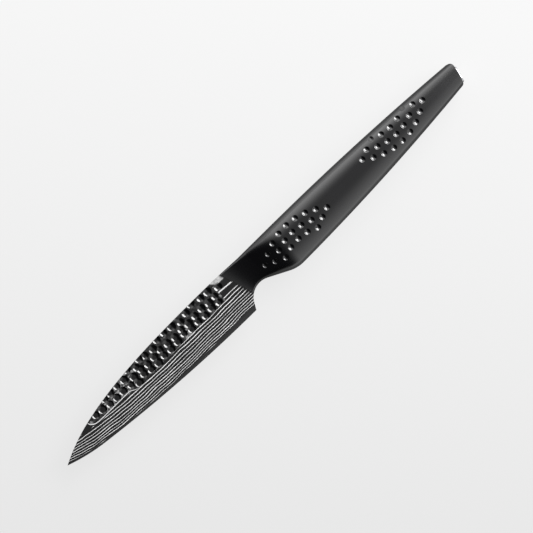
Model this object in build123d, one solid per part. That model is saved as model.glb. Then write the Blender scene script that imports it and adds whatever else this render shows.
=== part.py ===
from build123d import *
import math
import os

# Paring knife with a hollow steel handle.
# X runs from the tip to the butt, Y from the cutting edge to the spine and Z out of the
# left side. The pieces are drawn about the blade's mid-plane with the tip at zero, and at
# the end the knife is laid on its right side. All lengths are in millimetres.

# Blade
blade_length = 90.0
heel_drop = 8.2
spine_height = 10.85
edge_rise = 4.47
tip_sweep = 16.0
edge_land = 0.06
bevel_angle = 12.0
tip_thickness = 0.44
distal_angle = 0.26
face_angle = 2.3
spine_fall_radius = 390.0

# Finger notch and neck, behind the heel
heel_line_angle = 60.0
notch_radius = 7.5
notch_depth = 6.4
ramp_angle = 27.0
joint_behind_heel = 3.1
joint_lean = 18.0
neck_thickness = 2.7
neck_length = 9.2
tang_length = 9.5
tang_height = 6.4
tang_above_notch = 2.9
tang_thickness = 1.6
tang_clearance = 0.03
spigot_length = 7.0
spigot_clearance = 0.08

# Handle
handle_length = 101.7
handle_back = 10.33
handle_depth = 18.25
handle_thickness = 14.0
butt_thickness = 9.4
shoulder_length = 22.0
full_thickness_length = 45.0
corner_radius = 13.0
back_flat_length = 17.0
back_drop = 3.48
belly_start_angle = 0.6
belly_rise = 5.20
shell_wall = 1.2
end_wall = 2.0
end_lean = 14.5
top_corner_radius = 2.2
bottom_corner_radius = 0.9

# Weld beads, ground flush
weld_width = 1.0
weld_depth = 0.6

# Butt cap
cap_height = 6.4
cap_width = 7.6
cap_proud = 0.55
cap_bevel = 0.28
cap_above_tip = 1.05
stem_height = 4.0
stem_width = 4.6
stem_reach = 0.8
stem_clearance = 0.03

# Grip dimples, in rows about one centre
dimple_diameter = 2.2
dimple_depth = 0.5
dimple_pitch = 4.2
dimple_row_gap = 3.35
dimple_arc_radius = 24.8
dimple_side_count = 8
dimple_counts = (9, 7, 5)
front_group_behind_joint = 16.8
front_group_below_back = 3.98
front_tilt_angle = -1.5
rear_group_before_end = 31.7
rear_group_below_back = 11.98
rear_tilt_angle = 0.0

# How far a cut runs past what it cuts
overrun = 20.0

# The spine's rise from the tip to its crown, as shares of the blade's length and height
spine_length_shares = (0.062, 0.247, 0.514, 0.864)
spine_height_shares = (0.24, 0.677, 0.935, 1.0)
spine_tip_slope_share = 0.52

# The section's rolled edges, as shares of its height at the neck and on the handle
neck_roll_share = 0.05
spine_roll_share = 0.40
belly_roll_share = 0.46
roll_fullness = 2.4

# Flats in each rolled edge, outside and in the hollow, and even sections in the lofts' spans
roll_flat_count = 10
inner_flat_count = 3
neck_section_count = 9
spigot_section_count = 5
shoulder_section_count = 11
barrel_section_count = 7
tail_section_count = 9


def direction(angle):
    return Vector(math.cos(math.radians(angle)), math.sin(math.radians(angle)))


def slope(angle):
    return math.tan(math.radians(angle))


# Places along the side profile that several pieces share
heel = Vector(blade_length, -heel_drop)
notch_top = -heel_drop + notch_depth
notch_rise = notch_radius * math.sin(math.radians(90 + heel_line_angle))
heel_line_rise = notch_depth - notch_radius + notch_rise
notch_start = heel + Vector(heel_line_rise / slope(heel_line_angle), heel_line_rise)
notch_centre = notch_start - direction(90 + heel_line_angle) * notch_radius
notch_end = notch_centre + direction(90 - ramp_angle) * notch_radius
corner_y = handle_back - handle_depth + corner_radius
corner_drop = corner_radius * math.cos(math.radians(ramp_angle))
corner_x = (
    notch_end.X
    + (notch_end.Y - corner_y + corner_drop) / slope(ramp_angle)
    + corner_radius * math.sin(math.radians(ramp_angle))
)
corner_start = Vector(corner_x, corner_y) + direction(270 - ramp_angle) * corner_radius
corner_end = Vector(corner_x, corner_y) + direction(270 + belly_start_angle) * corner_radius
spine_crown = blade_length * spine_length_shares[-1]
joint_x = blade_length + joint_behind_heel
neck_joint = joint_x + neck_length
ring_start = neck_joint - weld_width / 2
ring_end = neck_joint + weld_width / 2
shoulder_end = joint_x + shoulder_length
taper_start = shoulder_end + full_thickness_length
handle_end = neck_joint + handle_length
loft_end = handle_end + end_wall * 2
back_crown = notch_centre.X + back_flat_length
back_reach = handle_end - back_crown
back_radius = (back_reach**2 + back_drop**2) / (2 * back_drop)
belly_chord = Vector(handle_end - corner_end.X, belly_rise)
belly_inward = direction(90 + belly_start_angle)
belly_curve_radius = belly_chord.length**2 / (2 * belly_chord.dot(belly_inward))
belly_centre = corner_end + belly_inward * belly_curve_radius


def arc_height(centre_x, centre_y, radius, x, side):
    """Height of the circle's upper (side 1) or lower (side -1) half at x."""
    return centre_y + side * math.sqrt(radius**2 - (x - centre_x) ** 2)


def back_height(x):
    """The knife's upper outline behind the blade's crown."""
    fall = arc_height(spine_crown, spine_height - spine_fall_radius, spine_fall_radius, x, 1)
    if x < notch_centre.X:
        return max(fall, handle_back)
    if x < back_crown:
        return handle_back
    return arc_height(back_crown, handle_back - back_radius, back_radius, x, 1)


def belly_height(x):
    """The knife's lower outline behind the joint line: notch, ramp, corner and belly."""
    if x < notch_end.X:
        return arc_height(notch_centre.X, notch_centre.Y, notch_radius, x, 1)
    if x < corner_start.X:
        return notch_end.Y - (x - notch_end.X) * slope(ramp_angle)
    if x < corner_end.X:
        return arc_height(corner_x, corner_y, corner_radius, x, -1)
    return arc_height(belly_centre.X, belly_centre.Y, belly_curve_radius, x, -1)


def on_outline(height, station, lean):
    """Where a line through the station, leaning towards the tip, meets an outline."""
    x = station
    for _ in range(40):
        x = station - slope(lean) * height(x)
    return Vector(x, height(x))


def growth(station):
    """How far the neck has swelled into the handle, from 0 to 1."""
    share = min(max((station - joint_x) / shoulder_length, 0), 1)
    return share * share * (3 - 2 * share)


def half_thickness(station):
    swelled = neck_thickness + (handle_thickness - neck_thickness) * growth(station)
    tail = max(station - taper_start, 0) / (handle_end - taper_start)
    return (swelled - (handle_thickness - butt_thickness) * tail**2) / 2


def roll_share(station, full_share):
    return neck_roll_share + (full_share - neck_roll_share) * growth(station)


def station_lean(station):
    """The stations lean with the joint line at first, and stand upright from the neck weld on."""
    return joint_lean * max(1 - (station - joint_x) / (ring_start - joint_x), 0)


def section_sizes(station, inset):
    """The section's plane, its height, its half thickness and the depths of its two rolls."""
    lean = station_lean(station)
    top = on_outline(back_height, station, lean)
    bottom = on_outline(belly_height, station, lean)
    height = (top - bottom).length
    upward = (top - bottom).normalized()
    top_roll = (height - inset * 2) * roll_share(station, spine_roll_share)
    low_roll = (height - inset * 2) * roll_share(station, belly_roll_share)
    plane = Plane(origin=bottom, x_dir=upward, z_dir=upward.cross(Vector(0, 0, 1)))
    return plane, height, half_thickness(station) - inset, top_roll, low_roll


def rounded(part):
    """A sine or cosine, pushed out from an ellipse to a fuller curve."""
    return math.copysign(abs(part) ** (2 / roll_fullness), part)


def roll(centre, depth, thickness, first, last, flats):
    """Points round a rolled edge, a full ellipse that meets the flat side at 90 degrees."""
    points = []
    for place in range(flats + 1):
        turn = direction(first + (last - first) * place / flats)
        points.append((centre + depth * rounded(turn.X), thickness * rounded(turn.Y)))
    return points


def half_section(station, inset=0, flats=roll_flat_count):
    """The left half of the section, or of one set in by a wall: a flat side and two rolls."""
    plane, height, thickness, top_roll, low_roll = section_sizes(station, inset)
    upper = roll(height - inset - top_roll, top_roll, thickness, 0, 90, flats)
    lower = roll(inset + low_roll, low_roll, thickness, 90, 180, flats)
    return plane * make_face(Polyline(upper + lower, close=True))


def core_section(inset):
    """The half section set in by a wall, with coarse rolls, as a function of the station."""
    return lambda station: half_section(station, inset, inner_flat_count)


def weld_turn(thickness):
    """How far round the roll a bead's edge lies from the seam."""
    share = weld_width / 2 / thickness
    return math.degrees(math.asin(share ** (roll_fullness / 2)))


def grooved_section(station):
    """The half section with a step along each seam, which takes half of a bead."""
    plane, height, thickness, top_roll, low_roll = section_sizes(station, 0)
    turn = weld_turn(thickness)
    upper = roll(height - top_roll, top_roll, thickness, turn, 90, roll_flat_count)
    lower = roll(low_roll, low_roll, thickness, 90, 180 - turn, roll_flat_count)
    side = weld_width / 2
    low_step = [(weld_depth, side), (weld_depth, 0)]
    top_step = [(height - weld_depth, 0), (height - weld_depth, side)]
    return plane * make_face(Polyline(upper + lower + low_step + top_step, close=True))


def bead_section(station, at_back):
    """One bead's section: the body's own curve outside and a flat floor inside."""
    plane, height, thickness, top_roll, low_roll = section_sizes(station, 0)
    turn = weld_turn(thickness)
    side = weld_width / 2
    if at_back:
        crown = roll(height - top_roll, top_roll, thickness, -turn, turn, 2)
        floor = [(height - weld_depth, side), (height - weld_depth, -side)]
    else:
        crown = roll(low_roll, low_roll, thickness, 180 - turn, 180 + turn, 2)
        floor = [(weld_depth, -side), (weld_depth, side)]
    return plane * make_face(Polyline(crown + floor, close=True))


def span(section, first, last, count):
    """A loft along the knife through close sections, from one station to another."""
    step = (last - first) / (count - 1)
    return loft([section(first + step * place) for place in range(count)], ruled=True)


def handle_span(section, first):
    """The handle's three spans, end to end, from a station in the neck to past the butt."""
    neck = span(section, first, shoulder_end, shoulder_section_count)
    barrel = span(section, shoulder_end, taper_start, barrel_section_count)
    return neck + barrel + span(section, taper_start, loft_end, tail_section_count)


def mirrored(shape):
    return mirror(shape, about=Plane.XY)


def both_halves(half):
    return half + mirrored(half)


def behind(station, lean):
    """A block behind a plane that crosses the X axis at the station, leaning forward at the top."""
    size = handle_end + overrun
    plane = Plane(origin=(station, 0, 0), z_dir=direction(lean))
    return plane * Box(size, size, size, align=(Align.CENTER, Align.CENTER, Align.MIN))


def between(first, last):
    """An upright slab across the knife from one station to another."""
    size = handle_end + overrun
    return Pos(first, 0, 0) * Box(last - first, size, size, align=(Align.MIN, Align.CENTER, Align.CENTER))


def side_height(x, y):
    """Height of the handle's left side above the mid-plane."""
    top, bottom = back_height(x), belly_height(x)
    top_roll = (top - bottom) * roll_share(x, spine_roll_share)
    low_roll = (top - bottom) * roll_share(x, belly_roll_share)
    past = max((y - top) / top_roll + 1, (bottom - y) / low_roll + 1, 0)
    return half_thickness(x) * (1 - past**roll_fullness) ** (1 / roll_fullness)


def dimple(x, y):
    """The cutter for one dimple: an eight-sided bowl with sloped walls, square to the surface."""
    step = dimple_diameter / 4
    rise_x = (side_height(x + step, y) - side_height(x - step, y)) / (2 * step)
    rise_y = (side_height(x, y + step) - side_height(x, y - step)) / (2 * step)
    normal = Vector(-rise_x, -rise_y, 1).normalized()
    floor = Vector(x, y, side_height(x, y)) - normal * dimple_depth
    outline = RegularPolygon((dimple_diameter + dimple_depth) / 2, dimple_side_count)
    block = extrude(outline, dimple_depth * 2)
    rim = block.faces().sort_by(Axis.Z)[0].edges()
    return Plane(origin=floor, z_dir=normal) * chamfer(rim, dimple_depth * 3 / 2)


def dimple_group(apex, tilt, side):
    """Rows on arcs about one centre; side 1 arches towards the spine, -1 towards the belly."""
    centre = apex - Vector(0, side * dimple_arc_radius)
    dimples = []
    for row, count in enumerate(dimple_counts):
        radius = dimple_arc_radius - row * dimple_row_gap
        turn = math.degrees(dimple_pitch / radius)
        for place in range(count):
            angle = 90 * side + tilt + (place - (count - 1) / 2) * turn
            spot = centre + direction(angle) * radius
            dimples.append(dimple(spot.X, spot.Y))
    return dimples


def spine_curve():
    points = [(0, 0)]
    for length_share, height_share in zip(spine_length_shares, spine_height_shares):
        points.append((blade_length * length_share, spine_height * height_share))
    return Spline(points, tangents=[(1, spine_tip_slope_share), (1, 0)])


def blade_outline():
    """The blade seen from its side, run past the cutting edge and the joint line."""
    crown = (spine_crown, spine_height)
    fall_turn = math.degrees((notch_centre.X - spine_crown) / spine_fall_radius)
    fall = CenterArc(Vector(*crown) - Vector(0, spine_fall_radius), spine_fall_radius, 90, -fall_turn)
    notch = CenterArc(notch_centre, notch_radius, 90, heel_line_angle)
    below_tip = (-overrun, -heel_drop - overrun)
    before_tip = (-overrun, -overrun * spine_tip_slope_share)
    below_heel = heel - direction(heel_line_angle) * overrun
    return make_face(
        Curve()
        + [
            Line(before_tip, (0, 0)),
            spine_curve(),
            fall,
            Line(fall @ 1, notch @ 0),
            notch,
            Line(notch @ 1, below_heel),
            Line(below_heel, below_tip),
            Line(below_tip, before_tip),
        ]
    )


def edge_outline(inset):
    """The region above the cutting edge, which is two tangent arcs from the tip to the heel."""
    run = blade_length - tip_sweep
    belly_radius = (run**2 + edge_rise**2) / (2 * edge_rise)
    belly_turn = math.degrees(math.asin(run / belly_radius))
    centre = heel + Vector(0, belly_radius)
    join = centre + direction(270 - belly_turn) * belly_radius
    inward = direction(90 - belly_turn)
    tip_radius = join.length**2 / (-2 * join.dot(inward))
    tip_centre = join + inward * tip_radius
    tip_angle = math.degrees(math.atan2(-tip_centre.Y, -tip_centre.X)) % 360
    belly = CenterArc(centre, belly_radius - inset, 270, -belly_turn)
    tip = CenterArc(tip_centre, tip_radius - inset, 270 - belly_turn, tip_angle - 270 + belly_turn)
    past_tip = (tip @ 1) + (tip % 1) * overrun
    past_heel = (belly @ 0) + Vector(overrun * 2, 0)
    top_left = (past_tip.X, overrun * 2)
    top_right = (past_heel.X, overrun * 2)
    return make_face(
        Curve()
        + [
            belly,
            tip,
            Line(tip @ 1, past_tip),
            Line(past_tip, top_left),
            Line(top_left, top_right),
            Line(top_right, past_heel),
            Line(past_heel, belly @ 0),
        ]
    )


def edge_hull():
    """Everything between the two bevels that meet at the cutting edge."""
    inset = heel_drop
    low = Pos(0, 0, edge_land / 2) * edge_outline(0)
    high = Pos(0, 0, edge_land / 2 + inset * slope(bevel_angle)) * edge_outline(inset)
    upper = loft([low, high], ruled=True)
    land = extrude(edge_outline(0), edge_land / 2, both=True)
    return land + upper + mirrored(upper)


def blade_face_height(x, y):
    return tip_thickness / 2 + x * slope(distal_angle) + y * slope(face_angle)


blade_face_normal = Vector(-slope(distal_angle), -slope(face_angle), 1).normalized()


def tang(clearance):
    """The stub behind the joint line that the bolster's slot takes."""
    stub = Pos(blade_length, notch_top + tang_above_notch - clearance, 0) * Box(
        joint_behind_heel + tang_length + clearance,
        tang_height + 2 * clearance,
        tang_thickness + 2 * clearance,
        align=(Align.MIN, Align.MIN, Align.CENTER),
    )
    return stub & behind(joint_x, joint_lean)


def blade():
    flat = extrude(blade_outline(), blade_length, both=True)
    for side in (1, -1):
        face = Plane(
            origin=(0, 0, side * tip_thickness / 2),
            z_dir=(blade_face_normal.X, blade_face_normal.Y, side * blade_face_normal.Z),
        )
        flat = split(flat, bisect_by=face, keep=Keep.BOTTOM)
    body = (flat & edge_hull()) - behind(joint_x, joint_lean)
    return body + tang(0)


def handle_keep():
    """Side view of the handle up to its slanted end, with both corners rounded."""
    top = on_outline(back_height, handle_end, -end_lean)
    low = on_outline(belly_height, handle_end, -end_lean)
    reach = handle_end - joint_x
    back_fall = (back_height(top.X - end_wall) - top.Y) / end_wall
    belly_fall = (belly_height(low.X - end_wall) - low.Y) / end_wall
    outline = Polyline(
        [
            top,
            top + Vector(-reach, reach * back_fall),
            low + Vector(-reach, reach * belly_fall),
            low,
        ],
        close=True,
    )
    profile = make_face(outline)
    profile = fillet(profile.vertices().sort_by_distance(top)[0], top_corner_radius)
    profile = fillet(profile.vertices().sort_by_distance(low)[0], bottom_corner_radius)
    return extrude(profile, handle_thickness, both=True)


def cap_plane():
    """The handle's slanted end, at the middle of the cap."""
    origin = (handle_end + cap_above_tip * slope(end_lean), cap_above_tip, 0)
    return Plane(origin=origin, x_dir=(0, 0, 1), z_dir=direction(-end_lean))


def cap_stem(clearance):
    width = stem_width + 2 * clearance
    height = stem_height + 2 * clearance
    section = RectangleRounded(width, height, stem_height / 3)
    return cap_plane() * extrude(section, -end_wall - stem_reach)


def butt_cap():
    plate = extrude(RectangleRounded(cap_width, cap_height, cap_height / 3), cap_proud)
    rim = plate.faces().sort_by(Axis.Z)[-1].edges()
    return cap_plane() * chamfer(rim, cap_bevel) + cap_stem(0)


def neck_weld():
    ring = span(half_section, ring_start, ring_end, 2)
    return both_halves(ring - span(core_section(weld_depth), ring_start, ring_end, 2))


def seam_weld(at_back):
    """The bead along the back or the belly, where the two shells meet."""
    return handle_span(lambda station: bead_section(station, at_back), ring_end) & keep


def bolster():
    spigot_end = neck_joint + spigot_length
    spigot_section = core_section(shell_wall + spigot_clearance)
    neck = span(half_section, joint_x, ring_start, neck_section_count)
    under_ring = span(core_section(weld_depth), ring_start, ring_end, 2)
    spigot = span(spigot_section, ring_start, spigot_end, spigot_section_count)
    return both_halves(neck + under_ring + spigot) - tang(tang_clearance)


def all_dimples():
    front = Vector(neck_joint + front_group_behind_joint, handle_back - front_group_below_back)
    rear = Vector(handle_end - rear_group_before_end, handle_back - rear_group_below_back)
    return dimple_group(front, front_tilt_angle, 1) + dimple_group(rear, rear_tilt_angle, -1)


def handle_shell():
    hollow = handle_span(core_section(shell_wall), neck_joint)
    hollow = both_halves(hollow - behind(handle_end - end_wall, -end_lean))
    shell = (handle_span(grooved_section, ring_end) & keep) - hollow - cap_stem(stem_clearance)
    return shell - all_dimples()


keep = handle_keep()
left_shell = handle_shell()
pieces = {
    "blade": blade(),
    "bolster": bolster(),
    "handle_shell_left": left_shell,
    "handle_shell_right": mirrored(left_shell),
    "butt_cap": butt_cap(),
    "spine_weld": seam_weld(True),
    "belly_weld": seam_weld(False),
    "neck_weld": neck_weld(),
}

# The knife lies on its right side, with its box's bottom centre at the origin
box = Compound(children=[Part() + piece for piece in pieces.values()]).bounding_box()
to_rest = Pos(-box.center().X, -box.center().Y, -box.min.Z)
os.makedirs("parts", exist_ok=True)
for name, piece in pieces.items():
    export_step(to_rest * piece, f"parts/{name}.step")
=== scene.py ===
import math

import bpy
import numpy as np
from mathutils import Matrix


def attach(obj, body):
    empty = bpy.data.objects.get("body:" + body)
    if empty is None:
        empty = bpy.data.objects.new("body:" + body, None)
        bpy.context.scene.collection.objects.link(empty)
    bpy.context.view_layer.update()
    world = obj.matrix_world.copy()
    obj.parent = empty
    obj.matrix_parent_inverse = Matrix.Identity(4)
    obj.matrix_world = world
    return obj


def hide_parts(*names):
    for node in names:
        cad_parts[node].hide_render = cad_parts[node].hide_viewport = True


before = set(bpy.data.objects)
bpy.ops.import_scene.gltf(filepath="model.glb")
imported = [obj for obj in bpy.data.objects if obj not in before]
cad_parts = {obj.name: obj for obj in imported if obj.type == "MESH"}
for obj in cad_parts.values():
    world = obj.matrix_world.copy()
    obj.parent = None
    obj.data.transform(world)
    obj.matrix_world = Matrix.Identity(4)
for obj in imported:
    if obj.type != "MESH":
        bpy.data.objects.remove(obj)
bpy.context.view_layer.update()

# Blade
# A flat-ground steel blade with a black coating, forged with round hammer marks along its
# spine, etched in layered lines below them, and ground to a plain bevel at its edge.
mm = 0.001
tip = np.array((-102.768, -1.325, 7.0))

# Lengths are in mm, and places are given from the tip, for every piece of the knife
blade_length = 90.0
heel_drop = 8.2
spine_height = 10.85
spine_length_shares = (0.0, 0.062, 0.247, 0.514, 0.864)
spine_height_shares = (0.0, 0.24, 0.677, 0.935, 1.0)
spine_tip_slope = 0.52
spine_fall_radius = 390.0
edge_rise = 4.47
tip_sweep = 16.0
edge_land = 0.06
bevel_angle = 12.0
tip_thickness = 0.44
distal_angle = 0.26
face_angle = 2.3
spine_round = 0.22
heel_line_angle = 60.0
notch_radius = 7.5
notch_depth = 6.4
heel_top = 84.6
joint_x = 93.1
joint_lean = 18.0
handle_back = 10.33

# Hammer marks: their size, how much it varies, and the place of each along its row
mark_radius = 1.6
mark_depth = 0.52
mark_variation = 0.1
mark_variation_turn = 2.4
upper_marks = (
    (27.0, 7.9), (30.0, 8.1), (33.5, 8.0), (37.1, 7.8), (40.3, 9.7), (43.5, 7.8), (46.4, 9.6),
    (48.8, 8.8), (52.6, 8.2), (56.0, 10.0), (59.6, 10.0), (63.3, 9.5), (66.9, 8.2), (70.6, 9.3),
    (74.1, 10.7), (78.3, 9.5), (81.8, 9.3), (85.9, 7.9),
)
middle_marks = (
    (20.5, 5.9), (23.8, 5.6), (27.2, 5.1), (30.6, 5.0), (34.0, 5.0), (37.6, 4.7), (40.4, 6.1),
    (44.2, 6.3), (47.4, 5.7), (50.9, 6.0), (54.3, 6.4), (58.0, 6.0), (61.5, 5.7), (65.2, 6.3),
    (68.6, 5.8), (72.3, 6.2), (75.9, 6.5), (79.4, 5.9), (82.6, 6.2),
)
lower_marks = (
    (40.4, 3.1), (43.9, 4.3), (47.0, 3.4), (50.6, 3.3), (54.0, 3.8), (57.4, 3.6), (61.1, 3.9),
    (64.8, 4.4), (68.2, 3.6), (71.7, 3.9), (75.2, 3.5), (78.8, 4.0), (82.2, 3.5),
)

heel = np.array((blade_length, -heel_drop))


def unit(angle):
    """The direction at an angle in degrees."""
    return np.array((math.cos(math.radians(angle)), math.sin(math.radians(angle))))


def slope(angle):
    """The rise of a line at an angle in degrees, over a run of 1."""
    return math.tan(math.radians(angle))


heel_line_rise = notch_depth - notch_radius + notch_radius * unit(90 + heel_line_angle)[1]
notch_start = heel + np.array((heel_line_rise / slope(heel_line_angle), heel_line_rise))
notch_centre = notch_start - unit(90 + heel_line_angle) * notch_radius
edge_run = blade_length - tip_sweep
belly_radius = (edge_run**2 + edge_rise**2) / (2 * edge_rise)
belly_turn = math.degrees(math.asin(edge_run / belly_radius))
edge_centre = heel + np.array((0, belly_radius))
edge_join = edge_centre + unit(270 - belly_turn) * belly_radius
tip_inward = unit(90 - belly_turn)
tip_radius = edge_join @ edge_join / (-2 * (edge_join @ tip_inward))
tip_centre = edge_join + tip_inward * tip_radius


def circle_height(centre, radius, x, side):
    """The height of a circle at x, on its upper side for 1 and its lower side for -1."""
    return centre[1] + side * np.sqrt(np.maximum(radius**2 - (x - centre[0]) ** 2, 0))


def spine_height_at(x):
    """The spine: a smooth curve through its few places, then a long arc behind the crown."""
    knots = blade_length * np.array(spine_length_shares)
    heights = spine_height * np.array(spine_height_shares)
    steps, rises = np.diff(knots), np.diff(heights)
    lines = np.eye(len(knots))
    slopes = np.zeros(len(knots))
    slopes[0] = spine_tip_slope
    for k in range(1, len(knots) - 1):
        before, after = 1 / steps[k - 1], 1 / steps[k]
        lines[k, k - 1 : k + 2] = before, 2 * (before + after), after
        slopes[k] = 3 * (rises[k - 1] * before**2 + rises[k] * after**2)
    slopes = np.linalg.solve(lines, slopes)
    k = np.clip(np.searchsorted(knots, x, side="right") - 1, 0, len(steps) - 1)
    share = np.clip((x - knots[k]) / steps[k], 0, 1)
    bend = slopes[k] * share * (1 - share) ** 2 - slopes[k + 1] * share**2 * (1 - share)
    curve = heights[k] + share**2 * (3 - 2 * share) * rises[k] + steps[k] * bend
    crown = knots[-1]
    fall = circle_height((crown, spine_height - spine_fall_radius), spine_fall_radius, x, 1)
    return np.where(x < crown, curve, np.maximum(fall, handle_back))


def edge_height_at(x):
    """The edge: a long arc from the heel, and a shorter one that sweeps up to the tip."""
    belly = circle_height(edge_centre, belly_radius, x, -1)
    front = circle_height(tip_centre, tip_radius, x, -1)
    return np.where(x < edge_join[0], front, belly)


def edge_distance(x, y):
    """How far a place on the blade lies from its edge."""
    belly = belly_radius - np.hypot(x - edge_centre[0], y - edge_centre[1])
    front = tip_radius - np.hypot(x - tip_centre[0], y - tip_centre[1])
    along = (x - edge_join[0]) * tip_inward[1] - (y - edge_join[1]) * tip_inward[0]
    return np.maximum(np.where(along < 0, front, belly), 0)


def flat_height(x, y):
    """Half the blade's thickness on its flats, which thins towards the tip and the edge."""
    return tip_thickness / 2 + x * slope(distal_angle) + y * slope(face_angle)


def mark_depth_at(x, y):
    """How deep the hammer marks lie below the blade's flat at a place."""
    deepest = np.zeros_like(x)
    for place, (mark_x, mark_y) in enumerate(upper_marks + middle_marks + lower_marks):
        size = mark_radius * (1 + mark_variation * math.sin(place * mark_variation_turn))
        reach = ((x - mark_x) ** 2 + (y - mark_y) ** 2) / size**2
        deepest = np.maximum(deepest, mark_depth * (1 - reach))
    return deepest


# Points of a skin that lie nearer than this are one point
doubles_gap = 0.0005


def skin(name, rings):
    """One closed skin over rings of points, which are its cross-sections from end to end."""
    stations, around = rings.shape[:2]
    closed = np.concatenate((rings, rings[:, :1]), axis=1)
    bpy.ops.object.select_all(action="DESELECT")
    bpy.ops.mesh.primitive_grid_add(x_subdivisions=around, y_subdivisions=stations - 1)
    piece = bpy.context.object
    piece.name = piece.data.name = name
    places = (closed + tip) * mm
    piece.data.vertices.foreach_set("co", places.astype(np.float32).ravel())
    bpy.ops.object.mode_set(mode="EDIT")
    bpy.ops.mesh.select_all(action="SELECT")
    bpy.ops.mesh.remove_doubles(threshold=doubles_gap * mm)
    bpy.ops.mesh.select_all(action="SELECT")
    bpy.ops.mesh.fill_holes(sides=0)
    bpy.ops.mesh.select_all(action="SELECT")
    bpy.ops.mesh.normals_make_consistent(inside=False)
    bpy.ops.object.mode_set(mode="OBJECT")
    for layer in list(piece.data.uv_layers):
        piece.data.uv_layers.remove(layer)
    return piece


def places_of(piece):
    """The places of a piece's points, in mm from the tip."""
    places = np.empty(len(piece.data.vertices) * 3, np.float32)
    piece.data.vertices.foreach_get("co", places)
    return places.reshape(-1, 3).astype(float) / mm - tip


# How finely the blade is divided along its length and up each face, the height at which the
# finer rows for the hammer marks start, and the angle above which an edge is shaded sharp
blade_stations = 420
tip_crowding = 1.15
ricasso_stations = 32
bevel_rows = 4
line_rows = 14
mark_rows = 50
round_rows = 6
marks_from = 1.5
blade_sharp_angle = math.radians(28)

# The most that the bevel and the rounded spine take up of a section's height, that hammer
# marks and the rounding take up of its thickness, and the bounds of where the finer rows start
bevel_most = 0.45
round_most = 0.2
sunk_most = 0.6
marks_above_bevel = 0.1
marks_from_most = 0.75


def joint_ends():
    """Where the leaning joint line meets the finger notch below and the spine above."""
    low = notch_centre[0] - notch_radius
    for _ in range(30):
        notch = circle_height(notch_centre, notch_radius, low, 1)
        low += 0.3 * (joint_x - slope(joint_lean) * notch - low)
    high = joint_x - slope(joint_lean) * handle_back
    for _ in range(10):
        high = joint_x - slope(joint_lean) * spine_height_at(np.array(high))
    return low, high


def blade_outline():
    """Matching places along the edge, heel and notch below, and along the spine above."""
    joint_low, joint_high = joint_ends()
    spread = np.linspace(0, 1, blade_stations) ** tip_crowding
    behind = np.linspace(0, 1, ricasso_stations)[1:]
    low_behind = blade_length + (joint_low - blade_length) * behind
    high_behind = heel_top + (joint_high - heel_top) * behind
    low_x = np.concatenate((blade_length * spread, low_behind))
    high_x = np.concatenate((heel_top * spread, high_behind))
    heel_line = heel[1] + (low_x - blade_length) * slope(heel_line_angle)
    notch = circle_height(notch_centre, notch_radius, low_x, 1)
    low_y = np.where(low_x <= blade_length, edge_height_at(low_x), heel_line)
    low_y = np.where(low_x > notch_start[0], notch, low_y)
    return np.stack((low_x, low_y), -1), np.stack((high_x, spine_height_at(high_x)), -1)


def crease_shares(low, high, length):
    """The share of each section's height at which the ground bevel meets the flat."""
    crease = np.zeros_like(length)
    for _ in range(20):
        at = low + (high - low) * crease
        level = flat_height(at[..., 0], at[..., 1]) - edge_land / 2
        gap = level / slope(bevel_angle) - edge_distance(at[..., 0], at[..., 1])
        crease = np.clip(crease + gap[..., None] / length, 0, bevel_most)
    before_heel = low[:, 0, 0] <= blade_length
    crease[~before_heel] = crease[before_heel][-1]
    return crease


def blade_rings():
    """The blade's cross-sections, each a loop up the left face and down the right one."""
    low, high = (side[:, None] for side in blade_outline())
    length = np.maximum(np.linalg.norm(high - low, axis=-1, keepdims=True), 0.01)
    crease = crease_shares(low, high, length)
    round_share = np.minimum(spine_round / length, round_most)
    zone = (marks_from - low[..., 1:]) / np.maximum(high - low, 0.01)[..., 1:]
    zone = np.clip(zone, crease + marks_above_bevel, marks_from_most)
    bevel = crease * np.linspace(0, 1, bevel_rows)[None, :-1, None]
    lines = crease + (zone - crease) * np.linspace(0, 1, line_rows)[None, :-1, None]
    marks = zone + (1 - round_share - zone) * np.linspace(0, 1, mark_rows)[None, :-1, None]
    turn = np.radians(np.linspace(0, 90, round_rows))
    rounded = 1 - round_share * (1 - np.sin(turn))[None, :, None]
    shares = np.concatenate((bevel, lines, marks, rounded), axis=1)
    at = low + (high - low) * shares
    x, y = at[..., 0], at[..., 1]
    half = np.minimum(flat_height(x, y), edge_land / 2 + edge_distance(x, y) * slope(bevel_angle))
    half = half - np.minimum(mark_depth_at(x, y), half * sunk_most)
    drop = np.minimum(spine_round, half[:, -1:] * sunk_most) * (1 - np.cos(turn))[None]
    half[:, -round_rows:] -= drop
    left = np.stack((x, y, half), -1)
    right = np.stack((x, y, -half), -1)[:, ::-1]
    return np.concatenate((left, right), axis=1)


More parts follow.
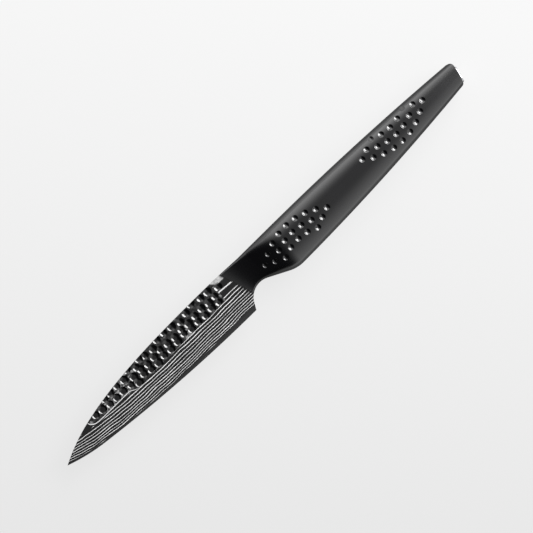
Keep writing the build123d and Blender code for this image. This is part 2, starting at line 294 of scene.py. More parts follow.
class Signal:
    """A shader socket that takes part in plain arithmetic. Each step adds a Math node."""

    def __init__(self, socket):
        self.socket = socket

    def node(self, kind, sockets, output=0, **settings):
        """Adds any other node: its settings first, then the values or links of its sockets."""
        tree = self.socket.id_data
        made = tree.nodes.new(kind)
        for name, value in settings.items():
            setattr(made, name, value)
        for place, value in sockets.items():
            if isinstance(value, Signal):
                tree.links.new(value.socket, made.inputs[place])
            else:
                made.inputs[place].default_value = value
        return Signal(made.outputs[output])

    def maths(self, operation, *others):
        return self.node("ShaderNodeMath", dict(enumerate((self, *others))), operation=operation)

    def __add__(self, other):
        return self.maths("ADD", other)

    def __sub__(self, other):
        return self.maths("SUBTRACT", other)

    def __mul__(self, other):
        return self.maths("MULTIPLY", other)

    def __truediv__(self, other):
        return self.maths("DIVIDE", other)

    def __rsub__(self, other):
        return self.node("ShaderNodeMath", {0: other, 1: self}, operation="SUBTRACT")

    __radd__ = __add__
    __rmul__ = __mul__

    def step(self, low, high):
        """0 below low and 1 above high, with a smooth rise between them."""
        sockets = {"Value": self, "From Min": low, "From Max": high}
        return self.node("ShaderNodeMapRange", sockets, interpolation_type="SMOOTHSTEP")

    def blend(self, low, high):
        """A colour between two colours, by this share."""
        return self.node("ShaderNodeMix", {0: self, 6: low, 7: high}, output=2, data_type="RGBA")

    def point(self, y, z):
        """A place from three numbers, of which this is the first."""
        return self.node("ShaderNodeCombineXYZ", {0: self, 1: y, 2: z})

    def noise(self, scale, detail=2.0):
        """Noise at this point, from 0 to 1."""
        sockets = {"Vector": self, "Scale": scale, "Detail": detail}
        return self.node("ShaderNodeTexNoise", sockets)

    def band(self, middle, inner, outer):
        """1 within an inner distance of a middle value, and 0 beyond an outer one."""
        return 1 - (self - middle).maths("ABSOLUTE").step(inner, outer)

    def stored(self, name):
        """A value that the mesh stores under a name, in this signal's material."""
        return self.node("ShaderNodeAttribute", {}, output="Fac", attribute_name=name)

    def parts(self):
        """The three numbers of this point."""
        return [self.node("ShaderNodeSeparateXYZ", {0: self}, axis) for axis in range(3)]


def place_on(tree):
    """The place on the object, or in the world the way that a ray goes."""
    return Signal(tree.nodes.new("ShaderNodeTexCoord").outputs["Object"])


def new_finish(name):
    """An empty material, its shader node, and the place on the knife in mm from its tip."""
    finish = bpy.data.materials.new(name)
    finish.use_nodes = True
    shader = finish.node_tree.nodes["Principled BSDF"]
    parts = place_on(finish.node_tree).parts()
    return finish, shader, *(part * (1 / mm) - start for part, start in zip(parts, tip))


def feed(shader, **inputs):
    """Sets or links the shader's sockets, named with underscores for spaces."""
    for name, value in inputs.items():
        socket = shader.inputs[name.replace("_", " ")]
        if isinstance(value, Signal):
            shader.id_data.links.new(value.socket, socket)
        else:
            socket.default_value = value


# The etched lines: the gap between them and how it widens towards the spine, the sweep of the
# layers down to the tip, and the share of each gap that is pale
line_gap = 0.74
line_gap_growth = 0.055
line_start = 5.93
layer_sweep = 7.04
layer_sweep_length = 17.8
layer_wander = 0.9
layer_ripple = 0.13
line_width = 0.12
line_strength = 0.9

# Where the hammered zone starts and ends along the blade, the height of its lower border at
# the front and behind it, where the one passes into the other, and where the bright rim that
# follows the border at the front fades out
zone_start = 16.4
zone_end = 84.5
border_front = 3.5
border_rear = 2.15
border_change = (35.0, 38.6)
rim_fade = (36.0, 40.0)

# The two plain colours of the blade, and the gloss of its coating
coating_black = (0.003, 0.003, 0.0034, 1)
etched_pale = (0.92, 0.92, 0.92, 1)
coating_ior = 1.9


def etched_lines(x, y):
    """Pale lines along the forged layers, each a little different in width and strength."""
    wander = x.point(y * 2.0, 0).noise(0.11, 1.0) - 0.5
    ripple = (x * 0.4).point(y * 3.0, 7.0).noise(0.8, 2.0) - 0.5
    sweep = (x * (-1 / layer_sweep_length)).maths("EXPONENT") * layer_sweep
    depth = y + line_gap - sweep + wander * layer_wander + ripple * layer_ripple
    index = ((depth + line_start) * (line_gap_growth / line_gap) + 1.0).maths("MAXIMUM", 0.01)
    index = index.maths("LOGARITHM", math.e) * (1 / line_gap_growth)
    whole = (index + 0.5).maths("FLOOR")
    across = (index - whole).maths("ABSOLUTE") * 2.0
    luck = whole.node("ShaderNodeTexWhiteNoise", {"Vector": whole.point(3.0, 0)})
    local = (x * 0.12).point(whole * 3.7, 0).noise(1.0, 2.0) - 0.5
    width = line_width + luck * 0.08 + local * 0.22
    line = 1 - across.maths("SUBTRACT", width).step(-0.06, 0.08)
    return line * (line_strength + local * 0.7).maths("MINIMUM", 1.0)


def etched_steel():
    """Black blade coating, with pale etched lines, hammer marks and a plain ground bevel."""
    finish, shader, x, y, z = new_finish("etched_steel")

    # The hammered zone with its lower border, the bright rim and dark gap along the border's
    # front part, and the plain patch that bears no lines
    climb = ((x - (zone_start + 0.8)) * -0.9).maths("EXPONENT")
    border = border_rear + (1 - x.step(*border_change)) * (border_front - border_rear) + climb
    above = (y - border) / (1 + climb * 0.6)
    front = x.step(zone_start - 0.4, zone_start) * (1 - x.step(*rim_fade))
    rim = front * above.band(-0.1, 0.08, 0.2)
    gap = front * above.band(-0.4, 0.12, 0.28)
    zone = x.step(zone_start + 0.2, zone_start + 1.0) * (1 - x.step(zone_end - 0.3, zone_end + 0.3))
    zone = (y - border).step(-0.02, 0.12) * zone
    patch = (y - 3.55).step(0.0, 0.15) * x.step(10.5, 12.0) * (1 - x.step(zone_end - 0.6, zone_end))

    # The plain steel by the joint, with one pale stroke and a pale rubbed patch at the spine
    ricasso = x.step(zone_end - 0.3, zone_end + 0.4)
    upper = ricasso * y.step(3.75, 4.0)
    stroke = (y + (x - 88.0) * 0.08).band(5.95, 0.12, 0.34)
    pale = ricasso * (y - 8.5).step(0.0, 0.5) * (1 - (x + (y - 9.2) * 0.45).step(89.0, 90.2))
    pale = pale * (x + y * 1.3).step(97.4, 98.6)

    # Worn places between the hammer marks, and the bevel, which is ground bare of lines
    mottle = x.point(y, 0).noise(0.9, 3.0)
    patches = x.point(y * 0.6, 9.0).noise(0.13, 1.0).step(0.53, 0.62)
    land = (1 - x.stored("mark").step(0.02, 0.1)) * zone * mottle.step(0.4, 0.65)
    land = land * (0.03 + patches * 0.3)
    ground = (x.stored("ground") + x * 0.0009).step(-0.015, 0.015)

    line = etched_lines(x, y) * (1 - gap) * (1 - zone.maths("MAXIMUM", patch)) * (1 - upper)
    etched = line.maths("MAXIMUM", rim * 0.8).maths("MAXIMUM", upper * stroke * 0.8)
    etched = etched.maths("MAXIMUM", pale * (0.1 + mottle * 0.75))
    etched = etched.maths("MAXIMUM", land) * (1 - ground)
    fine = x.point(y, z).noise(9.0, 2.0)
    etched = etched * (0.86 + fine * 0.28)
    roughness = 0.12 + etched * 0.38 + ground * 0.18 + fine * 0.05
    colour = etched.blend(coating_black, etched_pale)
    feed(shader, Base_Color=colour, Roughness=roughness, IOR=coating_ior)
    return finish


def store(piece, name, values):
    """Stores one number at each of a piece's points, for its material to read."""
    kept = piece.data.attributes.new(name, "FLOAT", "POINT")
    kept.data.foreach_set("value", values.astype(np.float32))


blade = skin("blade_etched", blade_rings())
blade_x, blade_y, _ = places_of(blade).T
bevel_height = edge_land / 2 + edge_distance(blade_x, blade_y) * slope(bevel_angle)
store(blade, "mark", mark_depth_at(blade_x, blade_y) / mark_depth)
store(blade, "ground", flat_height(blade_x, blade_y) - bevel_height)
bpy.ops.object.shade_smooth_by_angle(angle=blade_sharp_angle)
blade.data.materials.append(etched_steel())
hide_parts("blade")
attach(blade, "root")

# Neck and handle surface
# The bolster, weld beads and handle shells are dressed as one smooth body: a flat side with
# rolled edges, which swells out of the thin neck and tapers again towards the butt.
neck_thickness = 2.7
neck_end = 101.8
ramp_angle = 27.0
handle_end = 204.0
handle_depth = 18.25
handle_thickness = 14.0
butt_thickness = 9.4
shoulder_length = 22.0
full_thickness_length = 45.0
corner_radius = 13.0
back_flat_length = 17.0
back_drop = 3.48
belly_start_angle = 0.6
belly_rise = 5.20

# The rolled edges: the share of the height that each takes up, and how full their curve is
neck_roll_share = 0.05
spine_roll_share = 0.40
belly_roll_share = 0.46
roll_fullness = 2.4
roll_rows = 22
side_rows = 6

# The distance over which a surface's slope is measured, and how near a point must lie to
# the body's surface to count as on it
probe = 0.02
on_surface = 0.01

notch_end = notch_centre + unit(90 - ramp_angle) * notch_radius
corner_y = handle_back - handle_depth + corner_radius
corner_fall = notch_end[1] - corner_y + corner_radius * unit(ramp_angle)[0]
corner_x = notch_end[0] + corner_fall / slope(ramp_angle) + corner_radius * unit(ramp_angle)[1]
corner = np.array((corner_x, corner_y))
corner_start = corner + unit(270 - ramp_angle) * corner_radius
corner_end = corner + unit(270 + belly_start_angle) * corner_radius
belly_chord = np.array((handle_end - corner_end[0], belly_rise))
belly_inward = unit(90 + belly_start_angle)
belly_curve_radius = belly_chord @ belly_chord / (2 * (belly_chord @ belly_inward))
belly_centre = corner_end + belly_inward * belly_curve_radius
back_crown = notch_centre[0] + back_flat_length
back_radius = ((handle_end - back_crown) ** 2 + back_drop**2) / (2 * back_drop)
taper_start = joint_x + shoulder_length + full_thickness_length


def back_height(x):
    """The back: on from the blade's spine, then flat, then one long arc down to the butt."""
    fall = circle_height((back_crown, handle_back - back_radius), back_radius, x, 1)
    behind = np.where(x < back_crown, handle_back, fall)
    return np.where(x < notch_centre[0], spine_height_at(x), behind)


def belly_height(x):
    """The belly: the notch's arc, a ramp, a rounded corner and one long arc to the butt."""
    notch = circle_height(notch_centre, notch_radius, x, 1)
    ramp = notch_end[1] - (x - notch_end[0]) * slope(ramp_angle)
    turn = circle_height(corner, corner_radius, x, -1)
    belly = circle_height(belly_centre, belly_curve_radius, x, -1)
    rear = np.where(x < corner_end[0], turn, belly)
    return np.where(x < notch_end[0], notch, np.where(x < corner_start[0], ramp, rear))


def growth(station):
    """How far the neck has swelled into the handle, from 0 to 1."""
    share = np.clip((station - joint_x) / shoulder_length, 0, 1)
    return share * share * (3 - 2 * share)


def half_thickness(station):
    """Half the body's thickness: thin at the neck, full on the handle, less at the butt."""
    swelled = neck_thickness + (handle_thickness - neck_thickness) * growth(station)
    tail = np.maximum(station - taper_start, 0) / (handle_end - taper_start)
    return (swelled - (handle_thickness - butt_thickness) * tail**2) / 2


def lean_slope(station):
    """The cross-sections lean with the joint line at first, and stand upright on the handle."""
    leaning = np.clip(1 - (station - joint_x) / (neck_end - joint_x), 0, 1)
    return np.tan(np.radians(joint_lean * leaning))


def roll_share(station, full_share):
    """The share of the height that a rolled edge takes up, small at the neck."""
    return neck_roll_share + (full_share - neck_roll_share) * growth(station)


def ends_of(station):
    """The places on the back and the belly where a leaning section starts and ends."""
    top = bottom = station
    for _ in range(40):
        top = station - lean_slope(station) * back_height(top)
        bottom = station - lean_slope(station) * belly_height(bottom)
    return top, back_height(top), bottom, belly_height(bottom)


def outside(x, y, z):
    """Below 0 inside the neck and handle, 0 on their surface and above 0 outside."""
    station = x
    for _ in range(8):
        station = x + lean_slope(station) * y
    _, top, _, bottom = ends_of(station)
    share = (y - bottom) / (top - bottom)
    past_top = (share - 1) / roll_share(station, spine_roll_share) + 1
    past_low = 1 - share / roll_share(station, belly_roll_share)
    past = np.maximum(np.maximum(past_top, past_low), 0)
    return np.abs(z / half_thickness(station)) ** roll_fullness + past**roll_fullness - 1


def body_normals(places):
    """The way out of the neck's or handle's surface at each place."""
    x, y, z = places.T
    out = np.stack(
        (
            outside(x + probe, y, z) - outside(x - probe, y, z),
            outside(x, y + probe, z) - outside(x, y - probe, z),
            outside(x, y, z + probe) - outside(x, y, z - probe),
        ),
        -1,
    )
    return out / np.linalg.norm(out, axis=1, keepdims=True)


def half_rings(stations, inset, first_height):
    """Left-hand cross-sections from belly to back, set in by a wall and started at a height."""
    station = np.asarray(stations, float)[:, None]
    top_x, top_y, low_x, low_y = ends_of(station)
    high, low = np.stack((top_x, top_y), -1), np.stack((low_x, low_y), -1)
    length = np.linalg.norm(high - low, axis=-1)
    thickness = half_thickness(station)
    top_share = roll_share(station, spine_roll_share)
    low_share = roll_share(station, belly_roll_share)
    first_turn = np.arcsin(np.clip(first_height / thickness, 0, 1) ** (roll_fullness / 2))
    low_turn = first_turn + (math.pi / 2 - first_turn) * np.linspace(0, 1, roll_rows)[None]
    top_turn = low_turn[:, ::-1]
    side = np.linspace(0, 1, side_rows + 2)[None, 1:-1]
    full = 2 / roll_fullness
    share = np.concatenate(
        (
            low_share * (1 - np.clip(np.cos(low_turn), 0, 1) ** full),
            low_share + (1 - top_share - low_share) * side,
            1 - top_share * (1 - np.clip(np.cos(top_turn), 0, 1) ** full),
        ),
        axis=1,
    )
    height = np.concatenate(
        (np.sin(low_turn) ** full, np.ones_like(side) + 0 * thickness, np.sin(top_turn) ** full),
        axis=1,
    )
    share = inset / length + (1 - 2 * inset / length) * share
    at = low + (high - low) * share[..., None]
    return np.concatenate((at, (height * (thickness - inset))[..., None]), axis=-1)


def whole_rings(stations, inset):
    """Whole cross-sections, up the left-hand side and down its mirror image."""
    left = half_rings(stations, inset, 0)
    right = left[:, -2:0:-1] * np.array((1, 1, -1))
    return np.concatenate((left, right), axis=1)


def read_from(items, name, kind, numbers=1):
    """Reads one value, or several numbers, from each of a mesh's corners or faces."""
    values = np.empty(len(items) * numbers, kind)
    items.foreach_get(name, values)
    return values


def shade_as_body(piece, own_normals=None):
    """Gives each corner of the piece's outside the body's own normal, so that joints don't show.

    A piece with normals of its own brings the function that gives them.
    """
    mesh = piece.data
    bpy.ops.object.shade_smooth()
    places = places_of(piece)
    corner_points = read_from(mesh.loops, "vertex_index", np.int64)
    starts = read_from(mesh.polygons, "loop_start", np.int64)
    counts = read_from(mesh.polygons, "loop_total", np.int64)
    flats = read_from(mesh.polygons, "normal", np.float32, 3).reshape(-1, 3)
    flats = np.repeat(flats, counts, axis=0)
    shaded = (own_normals or body_normals)(places)[corner_points]
    agree = (shaded * flats).sum(1) > 0.5
    if own_normals is None:
        on_body = np.abs(outside(*places.T)) < on_surface
        whole_face = np.minimum.reduceat(on_body[corner_points], starts)
        agree &= np.repeat(whole_face, counts).astype(bool)
    mesh.normals_split_custom_set(np.where(agree[:, None], shaded, flats).tolist())


def dress(piece, finish, slot, *nodes):
    """Gives a finished piece its material and its body, and hides the nodes that it stands for. The
    slot is not used.
    """
    piece.data.materials.append(finish)
    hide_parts(*nodes)
    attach(piece, "root")


satin_dark = (0.0022, 0.0022, 0.0028, 1)
satin_rubbed = (0.003, 0.003, 0.0038, 1)
satin_ior = 2.0
grain_depth = 0.02


def satin_black():
    """The satin black coating of the whole handle, rubbed a little brighter in places."""
    finish, shader, x, y, z = new_finish("satin_black")
    grain = x.point(y, z).noise(6.0, 3.0)
    cloud = x.point(y, z).noise(0.06, 2.0)
    bumps = {"Height": grain, "Strength": 0.05, "Distance": grain_depth * mm}
    bump = grain.node("ShaderNodeBump", bumps)
    colour = cloud.blend(satin_dark, satin_rubbed)
    roughness = 0.23 + (cloud - 0.5) * 0.06 + (grain - 0.5) * 0.05
    feed(shader, Base_Color=colour, Roughness=roughness, IOR=satin_ior, Normal=bump)
    return finish


# Bolster
# The plain steel neck that takes the blade's stub tang, with a spigot that fills the front of
# the handle. Turned down, blackened and welded in.
spigot_length = 7.0
spigot_inset = 1.28
weld_width = 1.0
satin = satin_black()
neck_stations = np.linspace(joint_x, neck_end, 34)
spigot_stations = np.array((neck_end, neck_end + weld_width / 2 + spigot_length))
bolster = skin(
    "bolster_neck",
    np.concatenate((whole_rings(neck_stations, 0), whole_rings(spigot_stations, spigot_inset))),
)
shade_as_body(bolster)
dress(bolster, satin, "bolster", "bolster")

# Neck weld
# The ring of weld between the bolster and the shells. Steel weld metal, ground flush with
# both and coated over with them.
weld_depth = 0.6
ring_stations = np.linspace(neck_end, neck_end + weld_width, 4)
ring = skin(
    "weld_neck",
    np.concatenate((
        whole_rings(ring_stations, 0),
        whole_rings(ring_stations[-1:], weld_depth),
        whole_rings(ring_stations[:1], weld_depth),
    )),
)
shade_as_body(ring)
dress(ring, satin, "weld", "neck_weld")

# Handle shells
# Two pressed steel half shells with two groups of round grip dimples, closed by a slanted end
# wall and coated satin black. The right one mirrors the left one.
shell_wall = 1.2
end_wall = 2.0
end_lean = 14.5
end_starts = 184.0
top_corner_radius = 2.2
bottom_corner_radius = 0.9
back_end = 205.0
belly_end = 203.5
shell_stations = np.linspace(neck_end + weld_width, 203.9, 226)

# Dimples: their size and slope, and the arcs that their rows stand on
dimple_radius = 1.1
dimple_slope = 0.82
dimple_lip = 0.12
dimple_pitch = 4.2
dimple_row_gap = 3.35
dimple_arc_radius = 24.8
dimple_counts = (9, 7, 5)
front_apex = (119.1, 6.35)
rear_apex = (172.3, -1.65)
front_tilt = -1.5
rear_tilt = 0.0

# The shell's dimpled side: how far round a dimple it is divided finely, how near a point must
# lie to it, its least height, and the least share of upwards in the way that it faces
dimple_margin = 0.6
side_tolerance = 0.3
lowest_side = 1.5
least_upward = 0.3


def dimple_places(apex, tilt, side):
    """Rows on arcs about one centre; side 1 arches towards the spine, -1 towards the belly."""
    centre = np.array(apex) - np.array((0, side * dimple_arc_radius))
    for row, count in enumerate(dimple_counts):
        radius = dimple_arc_radius - row * dimple_row_gap
        for place in range(count):
            turn = (place - (count - 1) / 2) * math.degrees(dimple_pitch / radius)
            yield centre + unit(90 * side + tilt + turn) * radius


dimples = [*dimple_places(front_apex, front_tilt, 1), *dimple_places(rear_apex, rear_tilt, -1)]


def dimple_depth_at(x, y):
    """Depth below the shell's side: round bowls that run out over a narrow rounded lip."""
    depth = np.zeros_like(x)
    inside = dimple_radius - dimple_lip
    for centre in dimples:
        reach = np.hypot(x - centre[0], y - centre[1])
        bowl = dimple_lip + (inside**2 - reach**2) / (2 * inside)
        lip = np.clip(dimple_radius + dimple_lip - reach, 0, None) ** 2 / (4 * dimple_lip)
        depth = np.maximum(depth, dimple_slope * np.where(reach < inside, bowl, lip))
    return depth


def end_of_row(y, inset):
    """Where the slanted end lies at a height, with its two corners rounded."""
    end = handle_end - inset + slope(end_lean) * y
    top, low = float(back_height(np.array(back_end))), float(belly_height(np.array(belly_end)))
    over = np.clip((y - (top - top_corner_radius)) / top_corner_radius, 0, 1)
    under = np.clip(((low + bottom_corner_radius) - y) / bottom_corner_radius, 0, 1)
    end = end - top_corner_radius * (1 - np.sqrt(1 - over**2))
    return end - bottom_corner_radius * (1 - np.sqrt(1 - under**2))


def slide_to_end(station):
    """How far a cross-section has slid towards the slanted end, from 0 to 1."""
    return np.clip((station - end_starts) / (handle_end - end_starts), 0, 1) ** 2


def shell_rings():
    """C-shaped cross-sections of the left shell: up its outside and down its inside."""
    outer = half_rings(shell_stations, 0, weld_width / 2)
    inner = half_rings(shell_stations, shell_wall, 0)[:, ::-1]
    station = shell_stations[:, None]
    for face, inset, wall in ((outer, 0.0, 0.0), (inner, end_wall, shell_wall)):
        x, y = face[..., 0].copy(), face[..., 1]
        share = (y - belly_height(x)) / (back_height(x) - belly_height(x))
        x += (end_of_row(y, inset) - handle_end) * slide_to_end(station)
        face[..., 0] = x
        face[..., 1] = belly_height(x) + share * (back_height(x) - belly_height(x))
        face[..., 2] *= (half_thickness(x) - wall) / (half_thickness(station) - wall)
    groove = half_rings(shell_stations, weld_depth, 0)
    groove_low, groove_top = groove[:, :1], groove[:, -1:]
    groove_low[..., :2] = outer[:, :1, :2] + np.array((0, weld_depth))
    groove_top[..., :2] = outer[:, -1:, :2] - np.array((0, weld_depth))
    raised = np.array((0, 0, weld_width / 2))
    rings = np.concatenate(
        (groove_low, groove_low + raised, outer, groove_top + raised, groove_top, inner), axis=1
    )
    shut = rings[-1:].copy()
    shut[:, -inner.shape[1] :, 2] = 0
    last = shut.copy()
    last[:, -inner.shape[1] :, 0] += end_wall * 0.98
    return np.concatenate((rings, shut, last))


def divide_near_dimples(shell, side):
    """Divides the faces of the shell's outer side finely where dimples are pressed into them."""
    centres = np.array([face.center for face in shell.data.polygons]) / mm - tip
    facing = np.array([face.normal for face in shell.data.polygons])
    apart = centres[:, None, :2] - np.array(dimples)[None]
    gap = np.hypot(apart[..., 0], apart[..., 1]).min(1)
    near = (gap < dimple_radius + dimple_margin) & (facing[:, 2] * side > least_upward)
    bpy.ops.object.mode_set(mode="EDIT")
    bpy.ops.mesh.select_mode(type="FACE")
    bpy.ops.mesh.select_all(action="DESELECT")
    bpy.ops.object.mode_set(mode="OBJECT")
    shell.data.polygons.foreach_set("select", near)
    bpy.ops.object.mode_set(mode="EDIT")
    bpy.ops.mesh.subdivide(number_cuts=3)
    bpy.ops.object.mode_set(mode="OBJECT")


def press_dimples(shell, side):
    """Sinks the points of the shell's outer side to the depth of the dimples."""
    places = places_of(shell)
    x, y, height = places[:, 0], places[:, 1], places[:, 2] * side
    level = np.maximum(-outside(x, y, 0 * height), 0)
    level = level ** (1 / roll_fullness) * half_thickness(x)
    on_side = (np.abs(height - level) < side_tolerance) & (height > lowest_side)
    places[:, 2] = np.where(on_side, level - dimple_depth_at(x, y), height) * side
    shell.data.vertices.foreach_set("co", ((places + tip) * mm).astype(np.float32).ravel())
    shell.data.update()


def dimpled_normals(places, side):
    """The body's own way out, measured above the dimples and tilted by their slopes."""
    x, y = places[:, 0], places[:, 1]
    lift = np.where(places[:, 2] * side > lowest_side, dimple_depth_at(x, y), 0) * side
    out = body_normals(places + np.stack((0 * x, 0 * x, lift), -1))
    fall_x = dimple_depth_at(x + probe, y) - dimple_depth_at(x - probe, y)
    fall_y = dimple_depth_at(x, y + probe) - dimple_depth_at(x, y - probe)
    fall = np.stack((fall_x, fall_y, 0 * x), -1) / (2 * probe)
    upward = np.abs(out[:, 2:])
    tilted = out / np.maximum(upward, least_upward) + fall
    tilted = np.where(upward > least_upward, tilted, out)
    return tilted / np.linalg.norm(tilted, axis=1, keepdims=True)


def dimple_shell(name, side):
    """One shell with its dimples; side is 1 for the left one and -1 for the right."""
    shell = skin(name, shell_rings() * np.array((1, 1, side)))
    divide_near_dimples(shell, side)
    press_dimples(shell, side)
    shade_as_body(shell, lambda places: dimpled_normals(places, side))
    return shell


for name, node, side in (
    ("handle_left", "handle_shell_left", 1),
    ("handle_right", "handle_shell_right", -1),
):
    dress(dimple_shell(name, side), satin, "handle", node)

# Seam welds
# The beads that join the two shells along the back and the belly. Steel weld metal, ground
# flush with the shells and coated over with them.
bead_rows = 7
bead_clearance = 0.02


def bead_rings(edge, full_share, inward):
    """Cross-sections of one bead: the body's own curve outside and a flat floor inside."""
    station = shell_stations[:, None]
    end = end_of_row(edge(np.array([[belly_end]])), 0)
    x = station + (end - handle_end) * slide_to_end(station)
    height = back_height(x) - belly_height(x)
    z = np.linspace(-weld_width / 2, weld_width / 2, bead_rows)[None]
    past = (1 - np.abs(z / half_thickness(x)) ** roll_fullness) ** (1 / roll_fullness)
    y = edge(x) + inward * (1 - past) * roll_share(x, full_share) * height
    crown = np.stack((x + 0 * z, y, z + 0 * x), -1)
    bottom = crown[:, [-1, 0]] + np.array((0, inward * (weld_depth - bead_clearance), 0))
    return np.concatenate((crown, bottom), axis=1)


for name, node, edge, full_share, inward in (
    ("weld_back", "spine_weld", back_height, spine_roll_share, -1),
    ("weld_belly", "belly_weld", belly_height, belly_roll_share, 1),
):
    bead = skin(name, bead_rings(edge, full_share, inward))
    shade_as_body(bead)
    dress(bead, satin, "weld", node)

# Butt cap
# A small plug with a rounded rim, pressed into the slanted end of the handle. Stainless
# steel, polished bright and left uncoated.
cap_height = 6.4
cap_width = 7.6
cap_proud = 0.55
cap_rim = 0.42
cap_sunk = 1.0
cap_above_tip = 1.05
cap_corner = cap_height / 3
cap_points = 80
cap_rim_rings = 9
cap_face_insets = (0.9, 1.5, 2.0)
cap_crown = 0.01
cap_sharp_angle = math.radians(40)
cap_colour = (0.82, 0.82, 0.84, 1)


def cap_ring(inset, level):
    """A rounded rectangle on the slanted end, set in by an inset and raised to a level."""
    turn = np.linspace(0, 2 * math.pi, cap_points + 1)[:-1] + math.pi / cap_points
    radius = cap_corner - inset
    across = np.sign(np.cos(turn)) * (cap_height / 2 - cap_corner) + radius * np.cos(turn)
    wide = np.sign(np.sin(turn)) * (cap_width / 2 - cap_corner) + radius * np.sin(turn)
    out = unit(-end_lean)
    up = unit(90 - end_lean)
    middle = np.array((handle_end + cap_above_tip * slope(end_lean), cap_above_tip))
    side = middle + out * level + up * across[:, None]
    return np.concatenate((side, wide[:, None]), axis=1)


def polished_steel():
    """Bright steel with the fine lay of its polishing across the cap."""
    finish, shader, x, y, z = new_finish("polished_steel")
    lay = (x * 0.6).point(y * 0.6, z * 5.0).noise(6.0, 2.0)
    feed(shader, Base_Color=cap_colour, Metallic=1.0, Roughness=0.16 + lay * 0.1)
    return finish


cap_rings = [cap_ring(0, -cap_sunk), cap_ring(0, 0)]
for turn in np.radians(np.linspace(0, 90, cap_rim_rings)):
    rim_level = cap_proud - cap_rim * (1 - math.sin(turn))
    cap_rings.append(cap_ring(cap_rim * (1 - math.cos(turn)), rim_level))
for inset in cap_face_insets:
    cap_rings.append(cap_ring(inset, cap_proud + cap_crown * inset))
cap = skin("cap_polished", np.array(cap_rings))
bpy.ops.object.shade_smooth_by_angle(angle=cap_sharp_angle)
dress(cap, polished_steel(), "butt_cap", "butt_cap")

# Ground and backdrop
# A wide sheet of paper that glows, with painted light making it a little paler towards the top of
# the picture. It glows for the camera and takes the knife's shadow. Lengths from here on are in
# metres, in the pieces' own frame.
floor_size = 6.0
view_width = 0.197
photo_turn = math.radians(44.68)
paper_low = (0.725, 0.725, 0.725, 1)
paper_high = (0.83, 0.83, 0.83, 1)
shadow_paper = (0.07, 0.07, 0.07, 1)
unseen_paper = (0.35, 0.35, 0.35, 1)

# What the knife's gloss shows of the paper, darkened near the knife as a painted shadow: how bright
# it is from the blade's middle forward and beside the handle, and the distances over which it grows
# pale behind the blade's middle, away from the handle's sides, and beyond the butt
painted_shadow_front = 0.04
painted_shadow_beside = 0.1
pale_behind = (-0.04, 0.015)
pale_aside = (0.012, 0.05)
pale_beyond = (0.104, 0.118)


def paper():
    """The pale paper: a glow for the camera and for gloss, with painted light paler towards the top
    and a painted shadow near the knife for gloss, on paper that the lamp shines on.
    """
    finish = bpy.data.materials.new("paper")
    finish.use_nodes = True
    tree = finish.node_tree
    tree.nodes.clear()
    along, aside, _ = place_on(tree).parts()
    # Painted light: the glow grows a little paler towards the top of the picture.
    upward = along * math.sin(photo_turn) + aside * math.cos(photo_turn)
    level = (upward * (1 / view_width) + 0.5).maths("MAXIMUM", -0.5).maths("MINIMUM", 1.5)
    path = tree.nodes.new("ShaderNodeLightPath").outputs
    glossy = Signal(path["Is Glossy Ray"])
    seen = Signal(path["Is Camera Ray"]).maths("MAXIMUM", glossy)
    seen = seen.maths("MAXIMUM", Signal(path["Is Transmission Ray"]))
    # Painted shadow: what the gloss sees of the paper is dark near the knife and pale away from it.
    clear = aside.maths("ABSOLUTE").step(*pale_aside)
    clear = clear.maths("MAXIMUM", along.step(*pale_beyond))
    mirrored = painted_shadow_beside + clear * (1 - painted_shadow_beside)
    mirrored = painted_shadow_front + along.step(*pale_behind) * mirrored
    strength = 1 - glossy * (1 - mirrored)
    pale = level.blend(paper_low, paper_high)
    glow = level.node("ShaderNodeEmission", {"Color": pale, "Strength": strength})
    matt = level.node("ShaderNodeBsdfDiffuse", {"Color": shadow_paper})
    dark = level.node("ShaderNodeBsdfDiffuse", {"Color": unseen_paper})
    both = level.node("ShaderNodeAddShader", {0: glow, 1: matt})
    shown = level.node("ShaderNodeMixShader", {0: seen, 1: dark, 2: both})
    output = tree.nodes.new("ShaderNodeOutputMaterial")
    tree.links.new(shown.socket, output.inputs["Surface"])
    return finish


bpy.ops.object.select_all(action="DESELECT")
bpy.ops.mesh.primitive_plane_add(size=floor_size)
floor = bpy.context.object
floor.name = "floor"
floor.data.materials.append(paper())

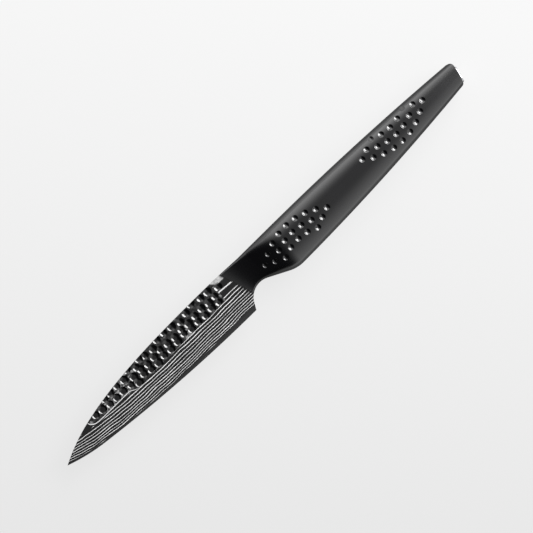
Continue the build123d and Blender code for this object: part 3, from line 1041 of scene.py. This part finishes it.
# Camera
# It looks straight down on the knife's left side from far off, with the tip at the lower left
# and the butt at the upper right.
view_distance = 1.5
view_middle = (0.00121, -0.00071)
bpy.ops.object.camera_add(
    location=(*view_middle, tip[2] * mm + view_distance), rotation=(0, 0, -photo_turn)
)
camera = bpy.context.object
camera.data.sensor_width = 36.0
camera.data.lens = camera.data.sensor_width * view_distance / view_width
bpy.context.scene.camera = camera

# Studio light
# One soft box beyond the butt, turned to the knife's middle. The room around it grows lighter
# beyond the spine and the edge, and is dark beyond the tip.
key_azimuth = math.radians(4)
key_elevation = math.radians(36)
key_distance = 0.9
key_width = 0.98
key_height = 0.52
key_radiance = 10.5

# How bright the room is: at its middle, at its darkest beyond the tip, how it rises beyond the
# spine and the edge, where it darkens towards the tip, and what the camera sees of it
room_level = 0.175
room_least = 0.01
spine_side_rise = 0.1
spine_side_steepening = 1.55
edge_side_rise = 0.62
tip_darkening = (-0.33, 0.05)
backdrop_level = 0.86

key_place = (
    key_distance * math.cos(key_azimuth) * math.cos(key_elevation),
    key_distance * math.sin(key_azimuth) * math.cos(key_elevation),
    key_distance * math.sin(key_elevation),
)
key_turn = (math.pi / 2 - key_elevation, 0, key_azimuth + math.pi / 2)
bpy.ops.object.light_add(type="AREA", location=key_place, rotation=key_turn)
key = bpy.context.object
key.name = "key"
key.data.shape = "RECTANGLE"
key.data.size, key.data.size_y = key_width, key_height
key.data.energy = key_radiance * math.pi * key_width * key_height

world = bpy.data.worlds.new("studio")
bpy.context.scene.world = world
world.use_nodes = True
ahead, aside, _ = place_on(world.node_tree).parts()
spine_side = aside.maths("MAXIMUM", 0)
edge_side = (aside * -1).maths("MAXIMUM", 0)
studio = room_level + spine_side * (spine_side_rise + spine_side * spine_side_steepening)
studio = room_least + (studio + edge_side * edge_side_rise) * ahead.step(*tip_darkening)
path = Signal(world.node_tree.nodes.new("ShaderNodeLightPath").outputs["Is Camera Ray"])
studio = studio.maths("MAXIMUM", path * backdrop_level)
back = world.node_tree.nodes["Background"]
back.inputs["Color"].default_value = (1, 1, 1, 1)
world.node_tree.links.new(studio.socket, back.inputs["Strength"])
bpy.context.scene.view_settings.view_transform = "Standard"
